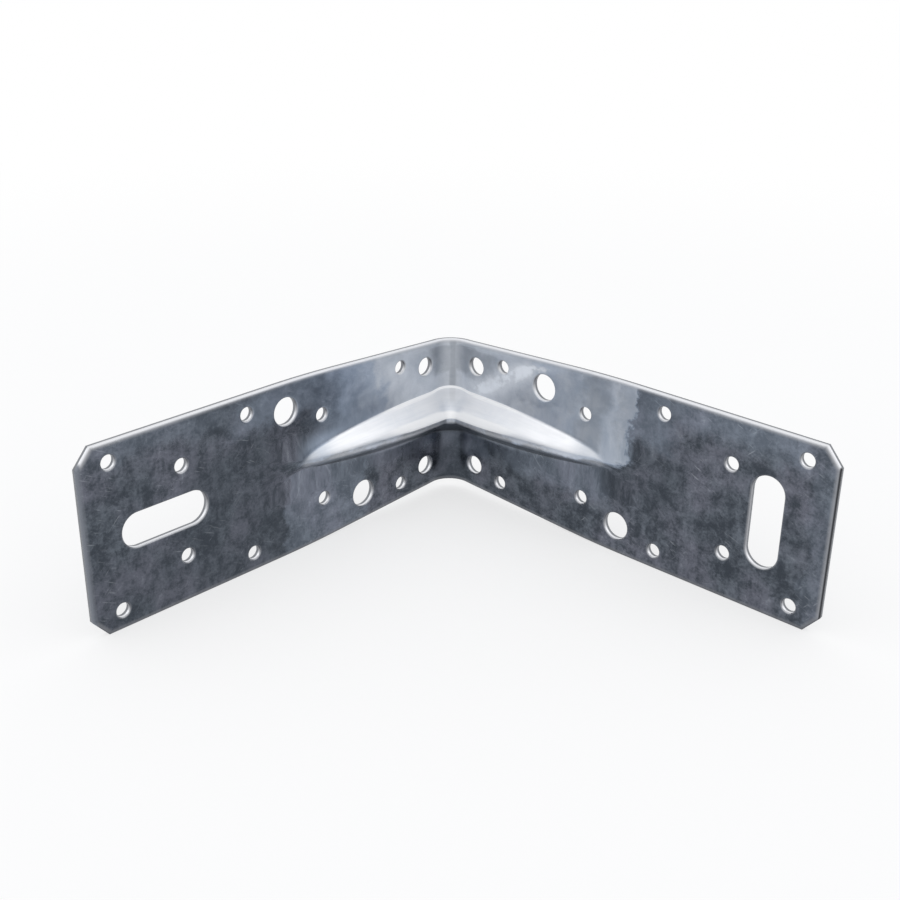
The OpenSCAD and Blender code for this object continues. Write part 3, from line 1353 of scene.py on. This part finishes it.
@dataclass(frozen=True)
class GalvanisedSteel:
    """Dull zinc on rolled steel, with wear marks of the press, stained patches between them, and
    painted light.

    Marks are where the tool wore the coat pale, and they also paint the reflection of the lit
    opposite leg and of the rib. Chalk-white ones are a matt white film that also paints light on
    the legs next to the fold. Stained patches are where the coat stayed darker, and they also
    paint shade in the crease of the fold and under the rib beside it. Ramps over distances are
    in metres, apart from the drawn height, which is in millimetres.
    """

    zinc: Zinc = Zinc()
    shine: RibPolishAndPaintedLight = RibPolishAndPaintedLight()
    cut: CutEdge = CutEdge()
    # Tints of the pale wear and painted reflection, from faint to strong.
    slate: Colour = (0.61, 0.72, 0.89, 1)
    pale_rub_and_reflection: Colour = (0.75, 0.79, 0.85, 1)
    rub_and_reflection_tone: Ramp = Ramp(0.50, 0.80)
    rub_and_reflection_mottle: float = 0.5
    ragged: Noise = Noise(75.0, 6.0, 0.7)
    ragged_by: tuple[float, float] = (0.022, 0.016)
    halo_near: Ramp = Ramp(0.12, 0.95)
    reflection_above: Ramp = Ramp(-0.001, 0.002, 0.10, 0.55)
    halo_end: Ramp = Ramp(0.064, 0.078, 1.0, 0.0)
    chalk_patches: Noise = Noise(130.0, 5.0, 0.6)
    chalk_share: Ramp = Ramp(0.36, 0.56, 0.60, 1.0)
    inner_face: Ramp = Ramp(-0.0016, -0.0009, 0.3, 1.0)
    blots: Noise = Noise(230.0, 3.0, 0.55, 0.6)
    blot_share: Ramp = Ramp(0.53, 0.60, 0.0, 0.62)
    die_edge: float = 0.084
    blot_reach: Ramp = Ramp(0.003, 0.010, 1.0, 0.0)
    shadow_drawn: Ramp = Ramp(0.1, 0.6)
    shadow_facing: Ramp = Ramp(-0.7, -0.15, 0.7, 0.0)
    rough: float = 0.25
    rough_flake: float = 0.08
    rough_rub: float = 0.22
    rough_polish: float = -0.06
    rough_torn: float = 0.25
    rough_fold: Ramp = Ramp(0.016, 0.048, 0.18, 0.0)
    bump_mottle: float = 0.6
    bump_grain: float = 0.12
    bump_strength: float = 0.12
    bump_height: float = 0.0004
    # Pale wear by the tool, which also paints the reflection of the lit opposite leg and of the
    # rib.
    marks: tuple[StripPatch, ...] = (
        StripPatch(Leg.A, (-40, 33), (4, 40), 22, 8, 0.78, 0.4),
        StripPatch(Leg.A, (-2, 60), (4, 40), 34, 8, 0.62),
        StripPatch(Leg.A, (20, 49), (26, 40), 12, 5, 0.60),
        StripPatch(Leg.A, (-2, 98), (20, 40), 30, 8, 0.28),
        StripPatch(Leg.A, (80, 152), (25, 40), 20, 6, 0.08),
        StripPatch(Leg.A, (42, 81), (-40, -6), 3, 4, 0.10),
        StripPatch(Leg.B, (-2, 52), (4, 40), 26, 8, 0.76, -0.15),
        StripPatch(Leg.B, (-2, 79), (2, 40), 3, 6, 0.66, 0.22),
        StripPatch(Leg.B, (68, 79), (8, 40), 10, 8, 0.58, 0.22),
        StripPatch(Leg.B, (60, 100), (12, 40), 12, 6, 0.20),
        StripPatch(Leg.B, (80, 152), (23, 40), 14, 7, 0.13),
        StripPatch(Leg.B, (24, 74), (-15, -3), 8, 5, 0.10),
        StripPatch(Leg.B, (152, 170), (-40, 40), 4, 6, 0.05),
        StripPatch(Leg.A, (4, 14), (-12, -3), 6, 4, 0.12),
        StripPatch(Leg.B, (4, 20), (-15, -3), 6, 4, 0.15),
    )
    # Matt white film, which also paints light reflected onto the legs next to the fold.
    chalk_and_light_marks: tuple[StripPatch, ...] = (
        StripPatch(Leg.B, (-13.0, 2.0), (8, 31), 10, 8, 1.0, 1.65, ragged=False),
        StripPatch(Leg.A, (9, 27), (16, 25), 12, 7, 0.50, 0.6, ragged=False),
        StripPatch(Leg.A, (4, 26), (6, 14), 10, 6, 0.35, ragged=False),
    )
    # Darker coat, which also paints shade in the crease of the fold and under the rib beside it,
    # and darkens zones along the legs.
    stains_and_shade: tuple[StripPatch, ...] = (
        StripPatch(Leg.A, (82, 122), (-40, 18), 5, 8, 0.34),
        StripPatch(Leg.A, (70, 200), (-40, 40), 20, 8, 0.10),
        StripPatch(Leg.A, (-6, 20), (-40, -6), 10, 4, 0.12),
        StripPatch(Leg.A, (-9, 8), (15, 29), 8, 6, 0.42),
        StripPatch(Leg.A, (-6, 4.5), (-40, -4), 3, 3, 0.6, ragged=False),
        StripPatch(Leg.A, (-4, 5), (5, 40), 4, 5, 0.22, ragged=False),
        StripPatch(Leg.B, (-0.6, 2.4), (6, 40), 1.8, 3, 0.50, ragged=False),
        StripPatch(Leg.B, (-6, 4.5), (-40, -4), 3, 3, 0.6, ragged=False),
        StripPatch(Leg.B, (-9, 13), (15, 28), 9, 6, 0.40, 0.4),
        StripPatch(Leg.B, (78, 104), (-8, 30), 4, 8, 0.22),
        StripPatch(Leg.B, (-6, 50), (-40, -12), 14, 5, 0.10),
        StripPatch(Leg.B, (57, 68), (6, 40), 7, 8, 0.30, 0.22),
        StripPatch(Leg.A, (116, 170), (-40, -8), 14, 6, 0.28),
    )

    def _read(self, w: Wiring) -> StripPoint:
        """Wires everything that the bracket says about a point.

        Args:
            w: The material's wiring.

        Returns:
            The sockets of the point.
        """
        place = w.attribute("strip_place", "Vector")
        along, across, depth = w.add("ShaderNodeSeparateXYZ", Vector=place).outputs
        noise = w.noise(place, self.ragged, coloured=True)
        push = w.add("ShaderNodeSeparateColor", Color=noise).outputs
        ragged = tuple(
            w.maths("MULTIPLY_ADD", w.maths("SUBTRACT", push[i], 0.5), self.ragged_by[i], base)
            for i, base in enumerate((along, across))
        )
        return StripPoint(
            place=place,
            clean=(along, across),
            ragged=ragged,
            depth=depth,
            from_fold=w.maths("ABSOLUTE", along),
            drawn=w.attribute("drawn"),
            near_rib=w.attribute("near_rib"),
            facing_up=w.attribute("facing_up"),
            burnished=w.attribute("burnished"),
            torn=w.attribute("torn"),
        )

    @staticmethod
    def _together(w: Wiring, marks: tuple[StripPatch, ...], at: StripPoint) -> Socket:
        """The strength of several marks, of which the strongest counts at each point."""
        return w.largest(*(mark.mask(w, at) for mark in marks))

    def _rub_and_painted_reflection(self, w: Wiring, at: StripPoint, mottle: Socket) -> tuple[Socket, Socket]:
        """Wires pale wear and painted reflection. The outer side shows less of it.

        Args:
            w: The material's wiring.
            at: The point of the strip.
            mottle: Mottle of the coat.

        Returns:
            Sockets with the strength of the pale wear and painted reflection, and of the matt
            white film that also paints light.
        """
        # Painted reflection of the rib's lit flank: strong above the middle line, faint below it.
        halo = w.product(
            w.ramp(at.near_rib, self.halo_near),
            w.ramp(at.ragged[1], self.reflection_above),
            w.ramp(at.from_fold, self.halo_end),
        )
        patches = w.ramp(w.noise(at.place, self.chalk_patches), self.chalk_share)
        chalk_and_light = w.product(self._together(w, self.chalk_and_light_marks, at), patches)
        rub_and_reflection = w.largest(self._together(w, self.marks, at), halo, chalk_and_light)
        inner_face = w.ramp(at.depth, self.inner_face)
        broken = w.maths("MULTIPLY_ADD", mottle, self.rub_and_reflection_mottle, 1 - self.rub_and_reflection_mottle / 2)
        return w.product(rub_and_reflection, inner_face, broken), w.product(chalk_and_light, inner_face)

    def _stains_and_painted_shade(self, w: Wiring, at: StripPoint, zinc: Socket, stain_and_shade: Socket) -> Socket:
        """Wires the stained patches with their painted shade, the blots at the edge of the
        die and the painted shadow under the rib.

        Args:
            w: The material's wiring.
            at: The point of the strip.
            zinc: Colour of the bare coat.
            stain_and_shade: Strength of the stained patches and their painted shade.

        Returns:
            A socket with the colour.
        """
        zinc = w.mix(stain_and_shade, zinc, self.zinc.dark)
        outside = w.maths("SUBTRACT", w.maths("ABSOLUTE", at.ragged[0]), self.die_edge)
        blots = w.product(
            w.ramp(w.noise(at.place, self.blots), self.blot_share),
            w.ramp(w.maths("ABSOLUTE", outside), self.blot_reach),
        )
        zinc = w.mix(blots, zinc, self.zinc.dark)
        # Painted shadow on the lower flank of the rib.
        shadow = w.product(
            w.ramp(at.drawn, self.shadow_drawn), w.ramp(at.facing_up, self.shadow_facing)
        )
        return w.mix(shadow, zinc, self.zinc.dark)

    def _roughness(
        self, w: Wiring, at: StripPoint, flake: Socket, rub_and_reflection: Socket, polish_and_painted_light: Socket
    ) -> Socket:
        """Wires the roughness.

        Args:
            w: The material's wiring.
            at: The point of the strip.
            flake: Crystals of the spangle.
            rub_and_reflection: How pale the wear and the painted reflection are.
            polish_and_painted_light: How far the rib is polished, with its painted light.

        Returns:
            A socket with the roughness.
        """
        weights = (
            (flake, self.rough_flake),
            (rub_and_reflection, self.rough_rub),
            (polish_and_painted_light, self.rough_polish),
            (at.torn, self.rough_torn),
            (polish_and_painted_light, w.ramp(at.from_fold, self.rough_fold)),
        )
        rough: Feed = self.rough
        for term, weight in weights:
            rough = w.maths("MULTIPLY_ADD", term, weight, rough)
        return rough

    def make(self) -> bpy.types.Material:
        """Builds the material.

        Returns:
            A material that reads the attributes of the bracket.
        """
        material = bpy.data.materials.new("galvanised_steel_finish")
        material.use_nodes = True
        w = Wiring(material.node_tree)
        at = self._read(w)
        flake = self.zinc.flakes(w, at)
        mottle = w.noise(at.place, self.zinc.mottle)
        grain = w.noise(at.place, self.zinc.grain)
        stain_and_shade = self._together(w, self.stains_and_shade, at)
        rub_and_reflection, chalk_and_light = self._rub_and_painted_reflection(w, at, mottle)
        polish_and_painted_light = self.shine.polish_and_painted_light(w, at)
        crest_highlight = self.shine.crest_highlight(w, at, polish_and_painted_light)

        zinc = self.zinc.colour(w, at, flake, mottle, grain)
        zinc = self._stains_and_painted_shade(w, at, zinc, stain_and_shade)
        # Pale wear and painted reflection are laid over the coat here, dimmed where it is stained
        # or painted in shade.
        rub_and_reflection_tint = w.mix(w.ramp(rub_and_reflection, self.rub_and_reflection_tone), self.slate, self.pale_rub_and_reflection)
        colour = w.mix(rub_and_reflection, zinc, w.mix(stain_and_shade, rub_and_reflection_tint, self.zinc.mid))
        colour = self.shine.over(w, colour, polish_and_painted_light, crest_highlight)
        colour = self.cut.over(w, at, colour)

        skin = w.maths("MULTIPLY_ADD", mottle, self.bump_mottle, w.product(grain, self.bump_grain))
        bump = w.add("ShaderNodeBump", Height=skin, Strength=self.bump_strength,
                     Distance=self.bump_height)
        shader = w.add(
            "ShaderNodeBsdfPrincipled",
            Base_Color=colour,
            Roughness=self._roughness(w, at, flake, rub_and_reflection, polish_and_painted_light),
            Metallic=w.maths("SUBTRACT", 1.0, w.largest(crest_highlight, chalk_and_light)),
            Normal=bump.outputs[0],
        )
        w.finish("ShaderNodeOutputMaterial", shader.outputs[0])
        return material


@dataclass
class Bracket:
    """The whole bracket, which is one folded and pressed piece of sheet steel."""

    strip: Strip = Strip()
    pattern: HolePattern = HolePattern()
    rib: Rib = Rib()
    edge: ShearedEdge = ShearedEdge(roll=1.7, drop=0.55)
    punched: ShearedEdge = ShearedEdge(roll=0.6, drop=0.35, shine=0.6)
    finish: GalvanisedSteel = GalvanisedSteel()

    def build(self) -> bpy.types.Object:
        """Punches, presses and folds the piece and dresses it.

        Returns:
            The finished object, riding on the part's only body.
        """
        blank = PunchedBlank(self.strip, self.pattern, self.edge, self.punched)
        bm = blank.build()
        open_edges = sum(1 for e in bm.edges if not e.is_manifold)
        LOG.info("blank: %d faces, %d open edges", len(bm.faces), open_edges)
        flat = np.array([v.co for v in bm.verts])
        press = PressTool(self.strip, self.rib)
        formed, pressed, near = press.form(flat, blank.rib_rows, blank.root_row)
        strip_place = bm.verts.layers.float_vector.new("strip_place")
        drawn = bm.verts.layers.float.new("drawn")
        near_rib = bm.verts.layers.float.new("near_rib")
        facing_up = bm.verts.layers.float.new("facing_up")
        for i, vert in enumerate(bm.verts):
            vert[strip_place] = Vector(flat[i]) * MM
            vert[drawn] = pressed[i]
            vert[near_rib] = near[i]
            vert.co = Vector(formed[i]) * MM
        bmesh.ops.recalc_face_normals(bm, faces=bm.faces[:])
        bm.normal_update()
        for vert in bm.verts:
            vert[facing_up] = vert.normal.z
        creases = set(self.edge.creases)
        for edge in bm.edges:
            first, second = (v[blank.step] for v in edge.verts)
            edge.smooth = not (first == second and first in creases)
        for face in bm.faces:
            face.smooth = True
        mesh = bpy.data.meshes.new("bracket_sheet")
        bm.to_mesh(mesh)
        bm.free()
        mesh.materials.append(self.finish.make())
        piece = bpy.data.objects.new("bracket_sheet", mesh)
        bpy.context.scene.collection.objects.link(piece)
        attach(piece, "root")
        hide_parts("angle_bracket")
        return piece


@dataclass(frozen=True)
class Softbox:
    """One large soft lamp, aimed at the bracket.

    Args:
        name: Name of the lamp.
        azimuth: Direction from the bracket to the lamp in plan, in degrees from +X.
        elevation: Angle of that direction above the floor, in degrees.
        distance: Distance from the bracket, in metres.
        width: Width of its face, in metres.
        height: Height of its face, in metres.
        radiance: Brightness of its face, where 1 shows as white.
    """

    name: str
    azimuth: float
    elevation: float
    distance: float
    width: float
    height: float
    radiance: float

    def place(self, target: Vector) -> bpy.types.Object:
        """Adds the lamp.

        Args:
            target: The point it shines on.

        Returns:
            The lamp's object.
        """
        data = bpy.data.lights.new(self.name, "AREA")
        data.shape = "RECTANGLE"
        data.size, data.size_y = self.width, self.height
        data.energy = self.radiance * math.pi * self.width * self.height
        lamp = bpy.data.objects.new(self.name, data)
        az, el = math.radians(self.azimuth), math.radians(self.elevation)
        away = Vector((math.cos(el) * math.cos(az), math.cos(el) * math.sin(az), math.sin(el)))
        lamp.location = target + away * self.distance
        lamp.rotation_euler = away.to_track_quat("Z", "Y").to_euler()
        bpy.context.scene.collection.objects.link(lamp)
        return lamp


@dataclass
class Studio:
    """The pale floor, the lamps and the camera, with all lengths in metres.

    Args:
        floor_half: Half the width of the floor.
        floor_cells: Number of faces along each side of it.
        floor_colour: Colour of its paper.
        floor_middle: Point of it below the bracket.
        paper_near: Distance from there up to which the paper glows least.
        paper_far: Distance from which it is seen as pure white.
        paper_glow: Share of pure white that is seen up to the near distance.
        air_colour: Colour of the even light all round.
        air_strength: Strength of that light.
        white: Colour of the background that is seen.
        camera_place: Place of the camera.
        azimuth: Direction in plan in which it looks, in degrees from +X.
        elevation: Angle of that direction above the horizontal, in degrees.
        roll: Turn of the camera about that direction, in degrees.
        focal_px: Focal length, in pixels of the photograph.
        frame_px: Width of the photograph, in pixels.
        sensor: Width of the camera's sensor, in millimetres.
        near_clip: Distance from the camera at which the view starts.
        aim: Point that the lamps shine on.
        lamps: The lamps.
    """

    floor_half: float = 6.0
    floor_cells: int = 8
    floor_colour: Colour = (0.95, 0.95, 0.953, 1)
    floor_middle: tuple[float, float, float] = (0.06, 0.06, 0.0)
    paper_near: float = 0.28
    paper_far: float = 0.75
    paper_glow: float = 0.65
    air_colour: Colour = (0.97, 0.98, 1.0, 1)
    air_strength: float = 0.85
    white: Colour = (1, 1, 1, 1)
    camera_place: tuple[float, float, float] = (0.3437, 0.3212, 0.2240)
    azimuth: float = 223.005
    elevation: float = -24.175
    roll: float = 0.684
    focal_px: float = 1305.0
    frame_px: float = 900.0
    sensor: float = 36.0
    near_clip: float = 0.01
    aim: tuple[float, float, float] = (0.05, 0.05, 0.03)
    lamps: tuple[Softbox, ...] = (
        Softbox("overhead_softbox", 45.0, 90.0, 0.95, 1.7, 1.7, 0.20),
        Softbox("left_softbox", 137.0, 24.0, 1.1, 1.4, 0.65, 0.32),
        Softbox("right_softbox", -47.0, 24.0, 1.1, 1.4, 0.65, 0.32),
        Softbox("front_softbox", 45.0, 22.0, 1.3, 1.3, 0.80, 0.22),
    )

    def build(self) -> None:
        """Sets up everything around the bracket."""
        self._floor()
        self._world()
        self._camera()
        for lamp in self.lamps:
            lamp.place(Vector(self.aim))
        bpy.context.scene.view_settings.view_transform = "Standard"

    def _floor(self) -> None:
        """Lays the floor, whose paper fades to pure white round the bracket."""
        bm = bmesh.new()
        cells = self.floor_cells
        bmesh.ops.create_grid(bm, x_segments=cells, y_segments=cells, size=self.floor_half)
        mesh = bpy.data.meshes.new("studio_floor")
        bm.to_mesh(mesh)
        bm.free()
        floor = bpy.data.objects.new("studio_floor", mesh)
        bpy.context.scene.collection.objects.link(floor)
        material = bpy.data.materials.new("studio_floor_paper")
        material.use_nodes = True
        w = Wiring(material.node_tree)
        paper = w.add("ShaderNodeBsdfDiffuse", Color=self.floor_colour)
        white = w.add("ShaderNodeEmission", Color=self.white, Strength=1.0)
        away = w.add("ShaderNodeVectorMath", {"operation": "DISTANCE"})
        w.feed(away, 0, w.add("ShaderNodeTexCoord").outputs["Object"])
        w.feed(away, 1, self.floor_middle)
        far = w.ramp(
            away.outputs["Value"], Ramp(self.paper_near, self.paper_far, self.paper_glow)
        )
        both = w.mix_shaders(w.product(far, w.seen()), paper.outputs[0], white.outputs[0])
        w.finish("ShaderNodeOutputMaterial", both)
        mesh.materials.append(material)

    def _world(self) -> None:
        """Lights the air evenly, and shows white wherever the background is seen."""
        world = bpy.data.worlds.new("studio_air")
        bpy.context.scene.world = world
        world.use_nodes = True
        w = Wiring(world.node_tree)
        fill = w.add("ShaderNodeBackground", Color=self.air_colour, Strength=self.air_strength)
        white = w.add("ShaderNodeBackground", Color=self.white, Strength=1.0)
        both = w.mix_shaders(w.seen(), fill.outputs[0], white.outputs[0])
        w.finish("ShaderNodeOutputWorld", both)

    def _camera(self) -> None:
        """Puts the camera where the photograph was taken from."""
        az, el, roll = (math.radians(a) for a in (self.azimuth, self.elevation, self.roll))
        ahead = Vector((math.cos(az) * math.cos(el), math.sin(az) * math.cos(el), math.sin(el)))
        level_right = ahead.cross(Vector((0, 0, 1))).normalized()
        level_up = level_right.cross(ahead)
        right = level_right * math.cos(roll) + level_up * math.sin(roll)
        up = level_up * math.cos(roll) - level_right * math.sin(roll)
        data = bpy.data.cameras.new("photo_camera")
        data.sensor_width = self.sensor
        data.lens = self.focal_px / self.frame_px * self.sensor
        data.clip_start = self.near_clip
        camera = bpy.data.objects.new("photo_camera", data)
        turn = Matrix((right, up, -ahead)).transposed().to_4x4()
        camera.matrix_world = Matrix.Translation(Vector(self.camera_place)) @ turn
        bpy.context.scene.collection.objects.link(camera)
        bpy.context.scene.camera = camera


def main() -> None:
    """Builds the bracket and its studio."""
    logging.basicConfig(level=logging.INFO, format="%(name)s: %(message)s")
    piece = Bracket().build()
    LOG.info("%s: %d faces", piece.name, len(piece.data.polygons))
    Studio().build()
    LOG.info("studio ready")


if __name__ == "__main__":
    main()
